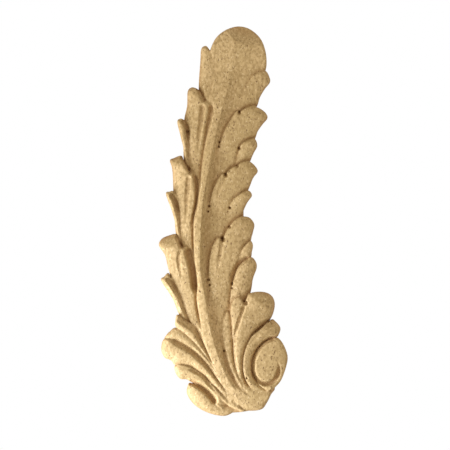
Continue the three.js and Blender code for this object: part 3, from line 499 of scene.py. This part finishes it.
def plan_grid(step):
    """Places of a grid that reaches past the leaf, in rows and columns, and the corners of its cells."""
    columns, rows = (int(2 * reach / step) + 1 for reach in GRID_REACH.values())
    x, z = np.meshgrid(step * np.arange(columns) - GRID_REACH["x"], step * np.arange(rows) - GRID_REACH["z"])
    index = np.arange(columns * rows).reshape(rows, columns)
    cells = np.stack([index[:-1, :-1], index[:-1, 1:], index[1:, 1:], index[1:, :-1]], axis=-1)
    return x, z, cells.reshape(-1, 4)


def settle_rim(rim, x, z):
    """Moves the stepped rim of the mesh onto the outline, its corners evenly apart."""
    for _ in range(RIM_ROUNDS):
        for values in (x, z):
            values[rim] = (np.roll(values[rim], 1) + 2 * values[rim] + np.roll(values[rim], -1)) / 4
        dx, dz = inward_step(x[rim], z[rim], -margin(x[rim], z[rim]))
        x[rim] += dx
        z[rim] += dz


def carved_height(rim, x, z, unit, thickness):
    """Height in mm of the carved face above the back, with the edge rounded. unit is the plan's, in mm."""
    raised = height(x, z)
    dx, dz = inward_step(x[rim], z[rim], RIM_INSET)
    raised[rim] = height(x[rim] + dx, z[rim] + dz)
    outline = np.column_stack([x[rim], z[rim]])
    outline = np.vstack([outline, outline[:1]])
    inward = margin(x, z)
    near = inward * unit < EDGE_ROUND
    inward[near] = nearest(outline, x[near], z[near])[0]
    rounding = np.clip(1 - inward * unit / EDGE_ROUND, 0, 1)
    raised = raised * thickness / 100 - EDGE_ROUND * (1 - np.sqrt(1 - rounding**2))
    return raised * (thickness / raised.max())


def painted_shade_share(raised, used, shape):
    """How far each used point of the grid lies below what is round it, 0 to 1: the share of painted shade
    there.
    """
    spread = []
    for values in (raised, 1):
        sheet = np.zeros(shape)
        sheet.flat[used] = values
        spread.append(blurred(sheet, PAINTED_SHADE_REACH / MESH_STEP).ravel()[used])
    return np.clip((spread[0] / spread[1] - raised) / PAINTED_SHADE_DEPTH, 0, 1)


def with_wall_and_back(face, cells, rim, back):
    """Vertices and faces of the whole leaf: carved face, side wall, bevel, and the back at that Y."""
    top = face[rim]
    bevel = BACK_BEVEL * MM
    rings = []
    for level in np.linspace(0, 1, WALL_ROWS + 1)[1:]:
        ring = top.copy()
        ring[:, 1] = mix(top[:, 1], back - bevel, level)
        rings.append(ring)
    ahead = np.roll(top, -1, axis=0) - np.roll(top, 1, axis=0)
    sideways = np.column_stack([-ahead[:, 2], ahead[:, 0]]) / np.hypot(ahead[:, 0], ahead[:, 2])[:, None]
    last = top.copy()
    last[:, [0, 2]] += bevel * sideways
    last[:, 1] = back
    rings.append(last)
    corners = [rim]
    for place in range(len(rings)):
        corners.append(len(face) + place * len(rim) + np.arange(len(rim)))
    faces = cells.tolist()
    for upper, lower in zip(corners[:-1], corners[1:]):
        faces += np.column_stack([upper, lower, np.roll(lower, -1), np.roll(upper, -1)]).tolist()
    faces.append(corners[-1][::-1].tolist())
    return np.vstack([face, *rings]), faces


def leaf_mesh():
    """Vertices, faces (the last one is the back) and how far each vertex lies in a hollow, which sets the
    painted shade.
    """
    low, high = (np.array(corner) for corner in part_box("acanthus_leaf"))
    unit = (high[2] - low[2]) / MM / 100
    step = MESH_STEP / unit
    x, z, cells = plan_grid(step)
    shape = x.shape
    x, z = x.ravel(), z.ravel()
    used, cells = np.unique(leaf_cells(x, z, cells, step), return_inverse=True)
    cells = cells.reshape(-1, 4)
    x, z = x[used], z[used]
    rim = outer_rim(cells)
    settle_rim(rim, x, z)
    raised = carved_height(rim, x, z, unit, (high[1] - low[1]) / MM)
    painted_shade = painted_shade_share(raised, used, shape)

    # Metres in the shared frame, with the outline filling the CAD box
    x = np.interp(x, (x[rim].min(), x[rim].max()), (low[0], high[0]))
    z = np.interp(z, (z[rim].min(), z[rim].max()), (low[2], high[2]))
    face = np.column_stack([x, high[1] - raised * MM, z])
    vertices, faces = with_wall_and_back(face, cells, rim, high[1])
    return vertices, faces, np.pad(painted_shade, (0, len(vertices) - len(face)))


def leaf_object(material):
    vertices, faces, painted_shade = leaf_mesh()
    mesh = bpy.data.meshes.new("acanthus leaf")
    mesh.from_pydata(vertices.tolist(), [], faces)
    smooth = np.ones(len(faces), bool)
    smooth[-1] = False
    mesh.polygons.foreach_set("use_smooth", smooth)
    mesh.attributes.new("painted_shade", "FLOAT", "POINT").data.foreach_set("value", painted_shade)
    mesh.materials.append(material)
    leaf = bpy.data.objects.new("carved_acanthus_leaf", mesh)
    bpy.context.scene.collection.objects.link(leaf)
    return leaf


def colour(code):
    """Linear colour from an sRGB hex code."""
    parts = (int(code[i : i + 2], 16) / 255 for i in (1, 3, 5))
    return (*(part / 12.92 if part <= 0.04045 else ((part + 0.055) / 1.055) ** 2.4 for part in parts), 1)


def add(tree, kind, inputs=None, **settings):
    """Adds a node. An input goes by name or number and is a value or the output of another node."""
    node = tree.nodes.new(kind)
    for name, value in settings.items():
        setattr(node, name, value)
    for name, value in (inputs or {}).items():
        if isinstance(value, bpy.types.NodeSocket):
            tree.links.new(value, node.inputs[name])
        else:
            node.inputs[name].default_value = value
    return node


def new_material(name):
    material = bpy.data.materials.new(name)
    material.use_nodes = True
    tree = material.node_tree
    tree.nodes.clear()
    return material, tree


def finish(tree, **inputs):
    """Ends a material with one surface shader."""
    named = {name.replace("_", " "): value for name, value in inputs.items()}
    shader = add(tree, "ShaderNodeBsdfPrincipled", named)
    output = add(tree, "ShaderNodeOutputMaterial")
    tree.links.new(shader.outputs["BSDF"], output.inputs["Surface"])


def grained(tree, place, size, stretch, detail):
    """Noise with features of that size in mm across the grain, drawn out along it."""
    scale = 1 / (size * MM)
    mapped = add(tree, "ShaderNodeMapping", {"Vector": place, "Scale": (scale, scale, scale / stretch)})
    noise = {"Vector": mapped.outputs["Vector"], "Scale": 1, "Detail": detail}
    return add(tree, "ShaderNodeTexNoise", noise).outputs["Fac"]


def beech():
    """Bare sanded beech, carved.

    Without oil or varnish the surface scatters the light, so the eye sees an even pale tan with no gloss,
    a fine mottling and short dark ray flecks along the grain. A browner tone is painted into the cuts
    as shade.
    """
    material, tree = new_material("sanded beech, bare and matt")
    place = add(tree, "ShaderNodeTexCoord").outputs["Object"]
    layers = []
    for layer in FIGURE:
        low, high = layer["band"]
        noise = grained(tree, place, layer["size"], layer["stretch"], layer["detail"])
        band = {"Value": noise, "From Min": low, "From Max": high}
        share = add(tree, "ShaderNodeMapRange", band, interpolation_type="SMOOTHSTEP", label=layer["name"])
        layers.append((share.outputs["Result"], layer["code"]))
    # Painted shade: the cuts are tinted browner the further they lie below what is round them.
    painted_shade = add(tree, "ShaderNodeAttribute", attribute_name="painted_shade")
    layers.append((painted_shade.outputs["Fac"], PAINTED_SHADE_WOOD))

    # The sockets of a colour mix share their names, so they go by number: 0 share, 6 below, 7 above, 2 result
    tone = colour(BARE_WOOD)
    for share, code in layers:
        mixed = add(tree, "ShaderNodeMix", {0: share, 6: tone, 7: colour(code)}, data_type="RGBA")
        tone = mixed.outputs[2]
    grain = grained(tree, place, RAISED_GRAIN["size"], RAISED_GRAIN["stretch"], RAISED_GRAIN["detail"])
    relief = {"Height": grain, "Distance": RAISED_GRAIN["height"] * MM, "Strength": RAISED_GRAIN["strength"]}
    bump = add(tree, "ShaderNodeBump", relief)
    finish(tree, Base_Color=tone, Roughness=0.72, Specular_IOR_Level=0.3, Normal=bump.outputs["Normal"])
    return material


def area_light(name, place, aim, size, power, tint):
    data = bpy.data.lights.new(name, "AREA")
    data.shape = "DISK"
    data.size = size
    data.energy = power
    data.color = colour(tint)[:3]
    lamp = bpy.data.objects.new(name, data)
    lamp.location = place
    lamp.rotation_euler = (Vector(aim) - Vector(place)).to_track_quat("-Z", "Y").to_euler()
    bpy.context.scene.collection.objects.link(lamp)


def studio():
    """Pale floor well below the leaf, white surroundings, a soft key and a small glow from lower left."""
    left, right = -FLOOR["half_width"], FLOOR["half_width"]
    front, rear = FLOOR["front"], FLOOR["rear"]
    plan = [(left, front), (right, front), (right, rear), (left, rear)]
    mesh = bpy.data.meshes.new("studio floor")
    mesh.from_pydata([(*corner, FLOOR["level"]) for corner in plan], [], [(0, 1, 2, 3)])
    material, tree = new_material("studio floor, matt white card")
    finish(tree, Base_Color=colour("#EFEDE9"), Roughness=0.9)
    mesh.materials.append(material)
    floor = bpy.data.objects.new("studio_floor", mesh)
    bpy.context.scene.collection.objects.link(floor)
    world = bpy.data.worlds.new("white studio")
    world.use_nodes = True
    background = world.node_tree.nodes["Background"]
    background.inputs["Color"].default_value = colour("#FFFFFF")
    background.inputs["Strength"].default_value = 1.0
    bpy.context.scene.world = world
    bpy.context.scene.view_settings.view_transform = "Standard"
    for lamp in LAMPS:
        area_light(**lamp)


def camera():
    """A long lens straight ahead, so far off that the leaf shows no perspective."""
    data = bpy.data.cameras.new("photo view")
    data.lens = VIEW["lens"]
    data.sensor_width = VIEW["sensor"]
    view = bpy.data.objects.new("photo view", data)
    distance = VIEW["span"] * VIEW["lens"] / VIEW["sensor"]
    view.location = (VIEW["aside"], -distance, -VIEW["down"])
    view.rotation_euler = (math.radians(90), 0, 0)
    bpy.context.scene.collection.objects.link(view)
    bpy.context.scene.camera = view


leaf = leaf_object(beech())
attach(leaf, "root")
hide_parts("acanthus_leaf")
studio()
camera()
